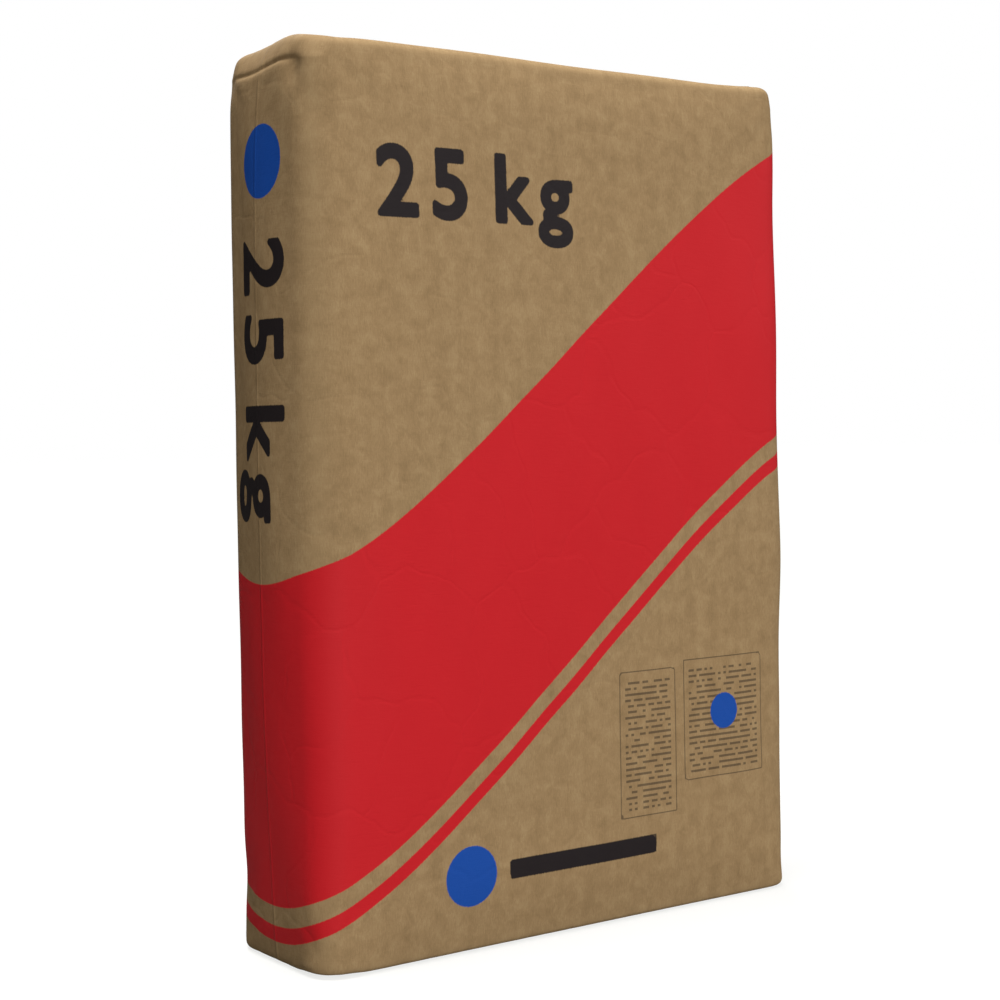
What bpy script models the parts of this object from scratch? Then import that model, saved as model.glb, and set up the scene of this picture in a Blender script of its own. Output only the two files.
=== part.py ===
"""A filled 25 kg cement bag: a pasted valve sack of kraft paper, standing on its bottom end.

The front face looks towards -Y, +X runs along the width of the bag and +Z is up. The origin is in
the middle of the underside. Lengths are in metres.
"""

import math

import bmesh
import bpy

# Driving dimensions of the filled bag
HEIGHT = 0.500  # from the floor to the top of the top cover sheet
WIDTH = 0.342  # across the side panels, at the ends
DEPTH = 0.100  # across the front and the back face, at the ends
END_CORNER = 0.017  # radius of the four upright corners at the ends
MIDDLE_CORNER = 0.026  # the same radius halfway up, where the filling rounds the corners
END_ROLL = 0.005  # radius with which the walls turn into the end faces
FACE_BULGE = 0.006  # how far the filling pushes out the middle of the front and the back face
SIDE_BULGE = 0.005  # the same for the narrow side panels

# Sheet sizes
PAPER = 0.0004  # two plies of sack kraft paper
TOUCHING_GAP = 0.0003  # between pieces that touch

# Cover sheets of the two ends
SHEET_LENGTH = 0.322
SHEET_WIDTH = 0.080
SHEET_CORNER = 0.004

# Filling valve, at the left end of the top
SLEEVE_LENGTH = 0.120
SLEEVE_WIDTH = 0.070
SLEEVE_THICKNESS = 0.0010  # the flat sleeve's two walls, each folded double
SLEEVE_FOLD = 0.0003  # bevel of its folded edges
SLEEVE_SET_BACK = 0.0010  # from the plane of the side panel to the sleeve's mouth

# Facets of the bag's form
CORNER_STEPS = 5
FACE_STEPS = 6
SIDE_STEPS = 3
ROLL_STEPS = 4
WALL_STEPS = 9
SHEET_CORNER_STEPS = 3
PARALLEL = 0.99  # cosine from which an edge counts as running along an axis

# Levels that follow from the sizes above
SACK_BOTTOM = PAPER + TOUCHING_GAP
SACK_TOP = HEIGHT - PAPER - TOUCHING_GAP
FILL_INSET = PAPER + TOUCHING_GAP
FILL_TOP = SACK_TOP - FILL_INSET
SLOT_HEIGHT = SLEEVE_THICKNESS + 2 * TOUCHING_GAP
SLOT_WIDTH = SLEEVE_WIDTH + 2 * TOUCHING_GAP
SLOT_LENGTH = SLEEVE_LENGTH + SLEEVE_SET_BACK + TOUCHING_GAP
SLOT_BOTTOM = FILL_TOP - SLOT_HEIGHT
LEFT_SIDE = -WIDTH / 2

KRAFT = {"colour": (0.305, 0.195, 0.095, 1.0), "roughness": 0.85}
SLEEVE_PAPER = {"colour": (0.42, 0.29, 0.16, 1.0), "roughness": 0.8}
CEMENT = {"colour": (0.33, 0.33, 0.32, 1.0), "roughness": 0.95}


def clear_scene():
    """Remove every object of the opened file."""
    for existing in list(bpy.data.objects):
        bpy.data.objects.remove(existing, do_unlink=True)


def make_material(name, finish):
    """Make a non-metallic Principled material.

    Args:
        name: Name of the material.
        finish: Its linear colour and its roughness.

    Returns:
        The new material.
    """
    material = bpy.data.materials.new(name)
    material.use_nodes = True
    shader = material.node_tree.nodes["Principled BSDF"]
    shader.inputs["Base Color"].default_value = finish["colour"]
    shader.inputs["Roughness"].default_value = finish["roughness"]
    shader.inputs["Metallic"].default_value = 0.0
    return material


def add_object(name, form, material=None):
    """Turn a bmesh into an object of the scene, with its faces pointing out.

    Args:
        name: Name of the object.
        form: The bmesh, which is used up.
        material: Material of the whole object, if it has one.

    Returns:
        The new object.
    """
    bmesh.ops.recalc_face_normals(form, faces=form.faces)
    mesh = bpy.data.meshes.new(name)
    form.to_mesh(mesh)
    form.free()
    if material is not None:
        mesh.materials.append(material)
    made = bpy.data.objects.new(name, mesh)
    bpy.context.collection.objects.link(made)
    return made


def subtract(target, cutter):
    """Cut one object out of another, and leave the cutter out of what is drawn.

    Args:
        target: Object that is cut.
        cutter: Object whose space is taken away.
    """
    cut = target.modifiers.new(cutter.name, "BOOLEAN")
    cut.operation = "DIFFERENCE"
    cut.object = cutter
    cutter.hide_render = True
    cutter.display_type = "WIRE"


def fullness(share):
    """How much the filling rounds the bag at a level.

    Args:
        share: The level as a share of the sack's height.

    Returns:
        0 at both ends, 1 halfway up.
    """
    return math.sin(math.pi * share)


def section_points(share, inset):
    """Outline of the bag at one level, anticlockwise from the front right corner.

    Args:
        share: The level as a share of the sack's height.
        inset: How far the outline lies inside the sack's outer face.

    Returns:
        A list of (x, y) points.
    """
    full = fullness(share)
    outer_radius = END_CORNER + (MIDDLE_CORNER - END_CORNER) * full
    radius = outer_radius - inset
    centre_x = WIDTH / 2 - outer_radius
    centre_y = DEPTH / 2 - outer_radius
    corners = (
        (centre_x, -centre_y, SIDE_BULGE, SIDE_STEPS),
        (centre_x, centre_y, FACE_BULGE, FACE_STEPS),
        (-centre_x, centre_y, SIDE_BULGE, SIDE_STEPS),
        (-centre_x, -centre_y, FACE_BULGE, FACE_STEPS),
    )
    points = []
    for index, (x, y, bulge, steps) in enumerate(corners):
        first_angle = (index - 1) * math.pi / 2
        last_angle = first_angle + math.pi / 2
        for step in range(CORNER_STEPS + 1):
            angle = first_angle + (last_angle - first_angle) * step / CORNER_STEPS
            points.append((x + radius * math.cos(angle), y + radius * math.sin(angle)))
        next_x, next_y = corners[(index + 1) % len(corners)][:2]
        for step in range(1, steps):
            along = step / steps
            out = radius + bulge * full * (1 - (2 * along - 1) ** 2)
            run_x = x + (next_x - x) * along + out * math.cos(last_angle)
            run_y = y + (next_y - y) * along + out * math.sin(last_angle)
            points.append((run_x, run_y))
    return points


def levels(inset):
    """Levels of the bag's form from the bottom to the top.

    Args:
        inset: How far the form lies inside the sack's outer face.

    Returns:
        A list of (height, inset of the section, share of the sack's height).
    """
    roll = END_ROLL - inset
    tall = SACK_TOP - SACK_BOTTOM
    found = []
    for step in range(ROLL_STEPS + 1):
        angle = math.pi / 2 * (1 - step / ROLL_STEPS)
        height = SACK_BOTTOM + END_ROLL - roll * math.sin(angle)
        section_inset = END_ROLL - roll * math.cos(angle)
        found.append((height, section_inset, END_ROLL * (1 - math.sin(angle)) / tall))
    wall = tall - 2 * END_ROLL
    for step in range(1, WALL_STEPS):
        height = END_ROLL + wall * step / WALL_STEPS
        found.append((SACK_BOTTOM + height, inset, height / tall))
    lower_roll = found[: ROLL_STEPS + 1]
    for height, section_inset, share in reversed(lower_roll):
        found.append((SACK_BOTTOM + SACK_TOP - height, section_inset, 1 - share))
    return found


def bag_form(inset):
    """Closed form of the filled bag, as rings of points that are bridged and capped.

    Args:
        inset: How far the form lies inside the sack's outer face.

    Returns:
        A bmesh.
    """
    form = bmesh.new()
    rings = []
    for height, section_inset, share in levels(inset):
        ring = [form.verts.new((x, y, height)) for x, y in section_points(share, section_inset)]
        rings.append([form.edges.new((ring[i - 1], ring[i])) for i in range(len(ring))])
    for lower, upper in zip(rings, rings[1:]):
        bmesh.ops.bridge_loops(form, edges=lower + upper)
    for end in (rings[0], rings[-1]):
        bmesh.ops.edgeloop_fill(form, edges=end)
    bmesh.ops.triangulate(form, faces=form.faces, quad_method="FIXED")
    return form


def block_form(size, centre):
    """A box.

    Args:
        size: Its three lengths.
        centre: Its middle.

    Returns:
        A bmesh.
    """
    form = bmesh.new()
    bmesh.ops.create_cube(form, size=1.0)
    bmesh.ops.scale(form, vec=size, verts=form.verts)
    bmesh.ops.translate(form, vec=centre, verts=form.verts)
    return form


def edges_along(form, axis):
    """Edges of a box that run along one axis.

    Args:
        form: The box.
        axis: 0, 1 or 2 for X, Y or Z.

    Returns:
        A list of edges.
    """
    found = []
    for edge in form.edges:
        direction = (edge.verts[1].co - edge.verts[0].co).normalized()
        if abs(direction[axis]) > PARALLEL:
            found.append(edge)
    return found


def round_edges(form, axis, radius, steps):
    """Bevel the edges of a box that run along one axis.

    Args:
        form: The box.
        axis: 0, 1 or 2 for X, Y or Z.
        radius: Width of the bevel.
        steps: Number of its facets.
    """
    edges = edges_along(form, axis)
    bmesh.ops.bevel(form, geom=edges, offset=radius, segments=steps, affect="EDGES", profile=0.5)


def build_paper_sack(material):
    """The kraft envelope: a thin wall all round, open only at the slot of the filling valve.

    Args:
        material: Material of the sack.
    """
    sack = add_object("paper_sack", bag_form(0.0), material)
    subtract(sack, add_object("sack_inside", bag_form(PAPER)))
    slot_size = (2 * SLOT_LENGTH, SLOT_WIDTH, SLOT_HEIGHT)
    slot_centre = (LEFT_SIDE, 0.0, SLOT_BOTTOM + SLOT_HEIGHT / 2)
    subtract(sack, add_object("valve_slot", block_form(slot_size, slot_centre)))


def build_cement_fill(material):
    """The packed powder, which fills the sack and leaves a flat recess for the valve sleeve.

    Args:
        material: Material of the cement.
    """
    fill = add_object("cement_fill", bag_form(FILL_INSET), material)
    recess_size = (2 * SLOT_LENGTH, SLOT_WIDTH, 2 * SLOT_HEIGHT)
    subtract(fill, add_object("sleeve_recess", block_form(recess_size, (LEFT_SIDE, 0.0, FILL_TOP))))


def build_cover_sheet(name, underside, material):
    """A paper strip with round corners that is pasted over the folds of one end.

    Args:
        name: Name of the sheet.
        underside: Height of its lower face.
        material: Material of the sheet.
    """
    form = block_form((SHEET_LENGTH, SHEET_WIDTH, PAPER), (0.0, 0.0, underside + PAPER / 2))
    round_edges(form, 2, SHEET_CORNER, SHEET_CORNER_STEPS)
    add_object(name, form, material)


def build_valve_sleeve(material):
    """The sleeve of the valve, pressed flat by the filling, with its mouth at the left side.

    Args:
        material: Material of the sleeve.
    """
    centre = (
        LEFT_SIDE + SLEEVE_SET_BACK + SLEEVE_LENGTH / 2,
        0.0,
        SLOT_BOTTOM + SLOT_HEIGHT / 2,
    )
    form = block_form((SLEEVE_LENGTH, SLEEVE_WIDTH, SLEEVE_THICKNESS), centre)
    round_edges(form, 0, SLEEVE_FOLD, 1)
    add_object("valve_sleeve", form, material)


def main():
    """Build the cement bag."""
    clear_scene()
    kraft = make_material("kraft_paper", KRAFT)
    build_paper_sack(kraft)
    build_cover_sheet("bottom_cover_sheet", 0.0, kraft)
    build_cover_sheet("top_cover_sheet", HEIGHT - PAPER, kraft)
    build_valve_sleeve(make_material("valve_paper", SLEEVE_PAPER))
    build_cement_fill(make_material("cement", CEMENT))


main()
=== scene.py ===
"""Looks of a filled 25 kg paper bag of cement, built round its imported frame.

The bag stands on its bottom end, with its front face towards -Y and its filling valve at the left end
of the top. Lengths are in metres. The print of the sack is laid out on the flat paper: s runs round
the bag, 0 in the middle of the front and positive to the right, and h runs up from the bottom end.
"""

import logging
import math
from collections.abc import Callable, Iterable
from dataclasses import dataclass
from enum import Enum

import bmesh
import bpy
import numpy as np
from mathutils import Matrix, Vector


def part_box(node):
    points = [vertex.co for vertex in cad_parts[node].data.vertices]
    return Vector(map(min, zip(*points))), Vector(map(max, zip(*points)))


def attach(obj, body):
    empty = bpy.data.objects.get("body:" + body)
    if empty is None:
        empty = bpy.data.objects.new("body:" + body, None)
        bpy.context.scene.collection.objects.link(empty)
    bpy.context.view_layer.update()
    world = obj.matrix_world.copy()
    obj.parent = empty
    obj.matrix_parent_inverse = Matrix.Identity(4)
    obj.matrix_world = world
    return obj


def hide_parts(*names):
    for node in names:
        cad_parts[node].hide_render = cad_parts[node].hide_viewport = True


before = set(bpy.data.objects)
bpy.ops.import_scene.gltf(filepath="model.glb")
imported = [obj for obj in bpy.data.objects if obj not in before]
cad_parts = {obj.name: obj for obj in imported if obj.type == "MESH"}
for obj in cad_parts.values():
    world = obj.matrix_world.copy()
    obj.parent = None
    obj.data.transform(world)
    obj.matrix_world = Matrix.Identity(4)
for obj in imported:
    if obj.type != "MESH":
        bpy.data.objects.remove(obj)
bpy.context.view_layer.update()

MM = 0.001
SHEET_MAP = "flat_paper"
PANEL = "panel"
WEAR = "wear"
MATT_SPECULAR = 0.14
LOG = logging.getLogger("cement_bag")
MATH = "ShaderNodeMath"
VECTOR_MATH = "ShaderNodeVectorMath"
MAP_RANGE = "ShaderNodeMapRange"
MIX = "ShaderNodeMix"
NOISE = "ShaderNodeTexNoise"

Pair = tuple[float, float]
Tree = bpy.types.NodeTree
Socket = bpy.types.NodeSocket
Step = tuple[Socket, float, float, float]


class Ink(Enum):
    """The three inks of the print, by the name of the attribute that holds each one's distance."""

    RED = "red_ink"
    BLACK = "black_ink"
    BLUE = "blue_ink"


class End(Enum):
    """The two ends of the bag, by the direction in which each one faces."""

    BOTTOM = -1
    TOP = 1


def linear(hex_colour: str) -> tuple[float, float, float, float]:
    """Turn an sRGB colour into the linear one that a shader takes.

    Args:
        hex_colour: The colour as #RRGGBB.

    Returns:
        Its linear red, green and blue, and an alpha of 1.
    """
    shares = [int(hex_colour[i : i + 2], 16) / 255 for i in (1, 3, 5)]
    red, green, blue = (c / 12.92 if c <= 0.04045 else ((c + 0.055) / 1.055) ** 2.4 for c in shares)
    return red, green, blue, 1.0


def feed(node: bpy.types.Node, inputs: dict[str | int, object]) -> None:
    """Set or link inputs of a node.

    Args:
        node: The node.
        inputs: A value or the output that feeds it, for each input by name or number.
    """
    for key, value in inputs.items():
        if isinstance(value, Socket):
            node.id_data.links.new(value, node.inputs[key])
        else:
            node.inputs[key].default_value = value


def add_node(
    tree: Tree,
    kind: str,
    inputs: dict[str | int, object] | None = None,
    output: str | int = 0,
    **settings: object,
) -> Socket:
    """Add one node, with its settings and with its inputs set or linked.

    Args:
        tree: Node tree of the material or world.
        kind: Type of the node.
        inputs: A value or the output that feeds it, for each input by name or number.
        output: Name or number of the output that is wanted.
        settings: The node's own properties, by name.

    Returns:
        That output of the new node.
    """
    node = tree.nodes.new(kind)
    for name, value in settings.items():
        setattr(node, name, value)
    feed(node, inputs or {})
    return node.outputs[output]


def add_steps(tree: Tree, height: Socket | float, steps: Iterable[Step]) -> Socket:
    """Raise a height by soft steps.

    Args:
        tree: Node tree of the material.
        height: The height so far.
        steps: For each one, the place that it follows, where it starts and ends there, and its rise.

    Returns:
        The output for the height.
    """
    for place, start, end, rise in steps:
        slope = {"Value": place, "From Min": start, "From Max": end, "To Max": rise}
        step = add_node(tree, MAP_RANGE, slope, interpolation_type="SMOOTHSTEP")
        height = add_node(tree, MATH, {0: height, 1: step}, operation="ADD")
    return height


def start_piece(
    name: str,
    primitive: Callable[..., object],
    place: tuple[float, float, float],
    size: tuple[float, float, float],
    **options: int,
) -> bpy.types.Object:
    """Add a primitive with sides of 1, stretch it to its size and apply that and its place to its mesh.

    Args:
        name: Name of the piece.
        primitive: The operator that adds it.
        place: Where its middle lies.
        size: Its size along x, y and z.
        options: Further options of the operator.

    Returns:
        The piece's object.
    """
    bpy.ops.object.select_all(action="DESELECT")
    primitive(size=1.0, location=place, **options)
    made = bpy.context.object
    made.name = made.data.name = name
    made.scale = size
    bpy.ops.object.transform_apply(location=True, rotation=True, scale=True)
    return made


def activate(piece: bpy.types.Object) -> None:
    """Select one piece and nothing else, and make it the active one.

    Args:
        piece: The piece.
    """
    bpy.ops.object.select_all(action="DESELECT")
    piece.select_set(True)
    bpy.context.view_layer.objects.active = piece


def edit(piece: bpy.types.Object, action: str = "DESELECT") -> None:
    """Enter edit mode on one piece.

    Args:
        piece: The piece.
        action: Whether all of its mesh is selected, SELECT, or nothing, DESELECT.
    """
    activate(piece)
    bpy.ops.object.mode_set(mode="EDIT")
    bpy.ops.mesh.select_all(action=action)


def span(edge: bmesh.types.BMEdge, axis: int) -> float:
    """Find how far an edge reaches along an axis."""
    return abs(edge.verts[0].co[axis] - edge.verts[1].co[axis])


def select(piece: bpy.types.Object, kind: str, test: Callable[..., bool]) -> None:
    """Select the parts of the piece in edit mode that pass a test, and nothing else.

    Args:
        piece: The piece that is being edited.
        kind: The kind of part: VERT, EDGE or FACE.
        test: Takes one of them.
    """
    bpy.ops.mesh.select_mode(type=kind)
    bpy.ops.mesh.select_all(action="DESELECT")
    shape = bmesh.from_edit_mesh(piece.data)
    for part in {"VERT": shape.verts, "EDGE": shape.edges, "FACE": shape.faces}[kind]:
        if test(part):
            part.select_set(True)
    bmesh.update_edit_mesh(piece.data)


def cut(axis: int, along: float) -> None:
    """Cut the whole of the piece in edit mode with a plane across an axis.

    Args:
        axis: 0, 1 or 2 for x, y or z.
        along: Where the plane lies on it.
    """
    across = np.eye(3)[axis]
    bpy.ops.mesh.select_all(action="SELECT")
    bpy.ops.mesh.bisect(plane_co=tuple(across * along), plane_no=tuple(across))


def modify(piece: bpy.types.Object, name: str, kind: str, **settings: object) -> None:
    """Give a piece a modifier and apply it.

    Args:
        piece: The piece.
        name: Name of the modifier.
        kind: Its type.
        settings: Its properties, by name.
    """
    activate(piece)
    modifier = piece.modifiers.new(name, kind)
    for key, value in settings.items():
        setattr(modifier, key, value)
    bpy.ops.object.modifier_apply(modifier=name)


def read_all(items: bpy.types.bpy_prop_collection, name: str, width: int, kind: type = float) -> np.ndarray:
    """Read one property of all items of a collection.

    Args:
        items: The collection.
        name: Name of the property.
        width: How many numbers it holds.
        kind: Type of these numbers.

    Returns:
        An array of one row for each item.
    """
    values = np.empty(len(items) * width, kind)
    items.foreach_get(name, values)
    return values.reshape(-1, width)


def read_points(mesh: bpy.types.Mesh) -> np.ndarray:
    """Read the places of a mesh's points, as one row for each."""
    return read_all(mesh.vertices, "co", 3)


def write_points(mesh: bpy.types.Mesh, places: np.ndarray) -> None:
    """Move a mesh's points to new places, one row for each."""
    mesh.vertices.foreach_set("co", places.ravel())
    mesh.update()


def push_points(mesh: bpy.types.Mesh, out: np.ndarray) -> np.ndarray:
    """Find where a mesh's points lie once each is pushed out along its normal."""
    return read_points(mesh) + read_all(mesh.vertices, "normal", 3) * out[:, None]


def corner_points(mesh: bpy.types.Mesh) -> np.ndarray:
    """Read the number of the point at each corner of a mesh's faces."""
    return read_all(mesh.loops, "vertex_index", 1, np.int64).ravel()


def read_map(mesh: bpy.types.Mesh) -> np.ndarray:
    """Read the place of each corner of a mesh's faces on the flat paper, as rows of s and h."""
    return read_all(mesh.uv_layers[SHEET_MAP].uv, "vector", 2, np.float32)


def lay_map(mesh: bpy.types.Mesh, flat: np.ndarray) -> None:
    """Give a mesh its map on the flat paper, from one row for each corner of its faces."""
    mesh.uv_layers.new(name=SHEET_MAP).uv.foreach_set("vector", flat.astype(np.float32).ravel())


def settle_order(mesh: bpy.types.Mesh) -> None:
    """Give a mesh's faces one fixed order and first corner, which the edit operators leave to chance.

    The pressure in a cloth simulation follows both, so without this its result would vary.

    Args:
        mesh: The mesh. A map that it has is lost.
    """
    places = read_points(mesh)
    edges = [tuple(edge.vertices) for edge in mesh.edges]
    faces = []
    for face in mesh.polygons:
        corners = tuple(face.vertices)
        first = corners.index(min(corners))
        faces.append(corners[first:] + corners[:first])
    mesh.clear_geometry()
    mesh.from_pydata(places, edges, sorted(faces))


def smooth_step(low: float, high: float, value: np.ndarray) -> np.ndarray:
    """Rise smoothly from 0 at low to 1 at high.

    Args:
        low: Where the rise starts.
        high: Where it ends.
        value: The values to weigh.

    Returns:
        Weights from 0 to 1.
    """
    share = np.clip((value - low) / (high - low), 0.0, 1.0)
    return share * share * (3 - 2 * share)


def bell(*offsets: np.ndarray) -> np.ndarray:
    """Fall smoothly from 1 at the middle of a bell, where offsets from it are given in its reach."""
    return np.exp(-sum(offset**2 for offset in offsets))


# The flat paper of the tube


@dataclass(frozen=True)
class TubeSection:
    """The section of the paper tube at its folded ends: a rectangle with round corners.

    Attributes:
        width: Across the two side panels.
        depth: Across the front and the back.
        radius: Radius of the upright corners.
    """

    width: float = 342 * MM
    depth: float = 100 * MM
    radius: float = 17 * MM

    @property
    def run_x(self) -> float:
        """Half of the straight stretch of the front."""
        return self.width / 2 - self.radius

    @property
    def run_y(self) -> float:
        """Half of the straight stretch of a side panel."""
        return self.depth / 2 - self.radius

    @property
    def arc(self) -> float:
        """Length of paper in one round corner."""
        return self.radius * math.pi / 2

    @property
    def corner_s(self) -> float:
        """Where the middle of a front corner lies on the paper."""
        return self.run_x + self.arc / 2

    @property
    def side_s(self) -> float:
        """Where the middle of a side panel lies on the paper."""
        return self.run_x + self.arc + self.run_y

    @property
    def seam_s(self) -> float:
        """Where the glued seam lies, in the middle of the back."""
        return 2 * self.side_s

    def round_the_bag(self, x: np.ndarray, y: np.ndarray) -> np.ndarray:
        """Place points of the section on the flat paper.

        Args:
            x: Places along the width.
            y: Places along the depth.

        Returns:
            Their distance round the bag from the middle of the front, negative to the left.
        """
        across = np.abs(x)
        past_x, past_y = across - self.run_x, np.abs(y) - self.run_y
        turn = np.arctan2(np.maximum(past_x, 0), np.maximum(past_y, 1e-9)) * self.radius
        front = np.where(past_x <= 0, across, self.run_x + turn)
        side = self.run_x + self.arc + y + self.run_y
        back = 2 * self.side_s - front
        on_side = (past_y <= 0) & (past_x > 0)
        return np.where(x < 0, -1.0, 1.0) * np.where(on_side, side, np.where(y < 0, front, back))


# The print


@dataclass(frozen=True)
class Box:
    """An upright rectangle on the paper: a printed bar, or a ruled panel of fine dashes.

    Attributes:
        centre: Its middle on the paper.
        size: Its width and height.
    """

    centre: Pair
    size: Pair

    def distance(self, s: np.ndarray, h: np.ndarray) -> np.ndarray:
        """Distance to the rectangle, negative inside it.

        Args:
            s: Places round the bag.
            h: Heights.

        Returns:
            The distances.
        """
        out_s = np.abs(s - self.centre[0]) - self.size[0] / 2
        out_h = np.abs(h - self.centre[1]) - self.size[1] / 2
        outside = np.hypot(np.maximum(out_s, 0), np.maximum(out_h, 0))
        return outside + np.minimum(np.maximum(out_s, out_h), 0)


@dataclass(frozen=True)
class Disc:
    """A plain disc on the paper.

    Attributes:
        centre: Its middle on the paper.
        radius: Its radius.
    """

    centre: Pair
    radius: float

    def distance(self, s: np.ndarray, h: np.ndarray) -> np.ndarray:
        """Distance from places round the bag and heights to the disc, negative inside it."""
        return np.hypot(s - self.centre[0], h - self.centre[1]) - self.radius


@dataclass(frozen=True)
class WeightMark:
    """The net weight in plain bold figures.

    Attributes:
        words: What it says.
        cap_height: Height of its figures.
        centre: Its middle on the paper.
        turned: Whether it reads downwards.
        boldness: How far its strokes are widened on each side.
        room: Half of its height and length, with room to spare, as shares of its figures' height.
    """

    words: str
    cap_height: float
    centre: Pair
    turned: bool = False
    boldness: float = 1.8 * MM
    room: Pair = (0.92, 1.9)

    def outline(self) -> np.ndarray:
        """Trace the figures with Blender's own typeface.

        Returns:
            An array of edges, each with its two points, round the middle of the mark.
        """
        bpy.ops.object.select_all(action="DESELECT")
        bpy.ops.object.text_add()
        letters = bpy.context.object
        letters.data.body = self.words
        letters.data.space_character = 1.3
        letters.data.space_word = 0.0
        letters.data.resolution_u = 6
        bpy.ops.object.convert(target="MESH")
        letters = bpy.context.object
        shape = bmesh.new()
        shape.from_mesh(letters.data)
        bmesh.ops.remove_doubles(shape, verts=shape.verts, dist=1e-5)
        edges = np.array([[v.co[:2] for v in edge.verts] for edge in shape.edges if edge.is_boundary])
        shape.free()
        bpy.data.objects.remove(letters, do_unlink=True)
        low, high = edges.min(axis=(0, 1)), edges.max(axis=(0, 1))
        first_figure = edges[:, :, 0].mean(axis=1) < low[0] + 0.25 * (high[0] - low[0])
        figure_top = edges[first_figure][:, :, 1].max()
        scale = self.cap_height / figure_top
        return (edges - [(low[0] + high[0]) / 2, figure_top / 2]) * scale

    def distance(self, s: np.ndarray, h: np.ndarray) -> np.ndarray:
        """Distance to the figures, negative inside them.

        Args:
            s: Places round the bag.
            h: Heights.

        Returns:
            The distances.
        """
        across, up = s - self.centre[0], h - self.centre[1]
        if self.turned:
            across, up = -up, across
        edges = self.outline()
        reach = np.abs(edges).max(axis=(0, 1)) + 8 * MM
        found = np.full(s.shape, reach.max())
        near = (np.abs(across) < reach[0]) & (np.abs(up) < reach[1])
        points = np.stack([across[near], up[near]], axis=1)
        nearest = np.full(len(points), np.inf)
        inside = np.zeros(len(points), bool)
        for start, end in edges:
            along = end - start
            share = np.clip((points - start) @ along / (along @ along), 0, 1)
            nearest = np.minimum(nearest, np.linalg.norm(points - start - share[:, None] * along, axis=1))
            crosses = (start[1] > points[:, 1]) != (end[1] > points[:, 1])
            if crosses.any():
                meets = start[0] + (points[:, 1] - start[1]) * along[0] / (along[1] or 1e-12)
                inside ^= crosses & (points[:, 0] < meets)
        found[near] = np.where(inside, -nearest, nearest) - self.boldness
        return found


def to_nearest(shapes: Iterable[Box | Disc | WeightMark], s: np.ndarray, h: np.ndarray) -> np.ndarray:
    """Distance to the nearest of several printed shapes, negative inside one.

    Args:
        shapes: The shapes.
        s: Places round the bag.
        h: Heights.

    Returns:
        The distances.
    """
    return np.min([shape.distance(s, h) for shape in shapes], axis=0)


@dataclass(frozen=True)
class SackPrint:
    """Layout of the print: a red band that winds round the bag, plain marks and ruled panels.

    The band rises across the front, runs level over the right side, falls across the back and runs
    level over the left side, so it meets itself at the seam.

    Attributes:
        tube: The paper that is printed.
        band_middle: Height of the band's middle line in the middle of the front.
        band_swing: How far it rises and falls from there.
        band_bend: How straight its slopes are, from 0, a soft wave, to 1, a zigzag.
        band_height: Height of the red band, measured upright.
        line_gap: Height of the bare paper between the band and the line under it.
        line_height: Height of that line.
        weight_marks: The net weight on the front, the left side and the right side.
        discs: Plain discs.
        bar: A plain bar under the band.
        panels: Two ruled panels of fine dashes.
    """

    tube: TubeSection
    band_middle: float = 252 * MM
    band_swing: float = 132 * MM
    band_bend: float = 0.80
    band_height: float = 176 * MM
    line_gap: float = 11 * MM
    line_height: float = 9 * MM
    weight_marks: tuple[WeightMark, ...] = (
        WeightMark("25 kg", 36 * MM, (-66 * MM, 424 * MM)),
        WeightMark("25 kg", 42 * MM, (-208 * MM, 318 * MM), turned=True),
        WeightMark("25 kg", 42 * MM, (213.7 * MM, 176 * MM), turned=True),
    )
    discs: tuple[Disc, ...] = (
        Disc((-78 * MM, 43 * MM), 17 * MM),
        Disc((-208 * MM, 436 * MM), 20 * MM),
        Disc((213.7 * MM, 48 * MM), 21 * MM),
        Disc((112.2 * MM, 117 * MM), 11 * MM),
    )
    bar: Box = Box((2 * MM, 43 * MM), (108 * MM, 11 * MM))
    panels: tuple[Box, ...] = (
        Box((50.6 * MM, 103.7 * MM), (43.2 * MM, 86.2 * MM)),
        Box((112.2 * MM, 113.9 * MM), (65.2 * MM, 72.6 * MM)),
    )

    def band_distance(self, s: np.ndarray, h: np.ndarray) -> np.ndarray:
        """Distance to the red band and to the line under it, negative inside them.

        Args:
            s: Places round the bag.
            h: Heights.

        Returns:
            The distances.
        """
        turn = np.pi * s / self.tube.seam_s
        widest = math.asin(self.band_bend)
        middle = self.band_middle + self.band_swing * np.arcsin(self.band_bend * np.sin(turn)) / widest
        steep = self.band_bend * np.cos(turn) / np.sqrt(1 - (self.band_bend * np.sin(turn)) ** 2)
        slope = self.band_swing * steep / widest * np.pi / self.tube.seam_s
        above = h - middle
        line_middle = -(self.band_height / 2 + self.line_gap + self.line_height / 2)
        band = np.abs(above) - self.band_height / 2
        line = np.abs(above - line_middle) - self.line_height / 2
        return np.minimum(band, line) / np.hypot(1, slope)

    def distances(self, s: np.ndarray, h: np.ndarray) -> dict[str, np.ndarray]:
        """Distance to what is printed in each ink and to the panels, negative inside them.

        Args:
            s: Places round the bag.
            h: Heights.

        Returns:
            An array for each, by the name of its attribute.
        """
        return {
            Ink.RED.value: self.band_distance(s, h),
            Ink.BLACK.value: to_nearest((self.bar, *self.weight_marks), s, h),
            Ink.BLUE.value: to_nearest(self.discs, s, h),
            PANEL: to_nearest(self.panels, s, h),
        }


# Finishes


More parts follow.
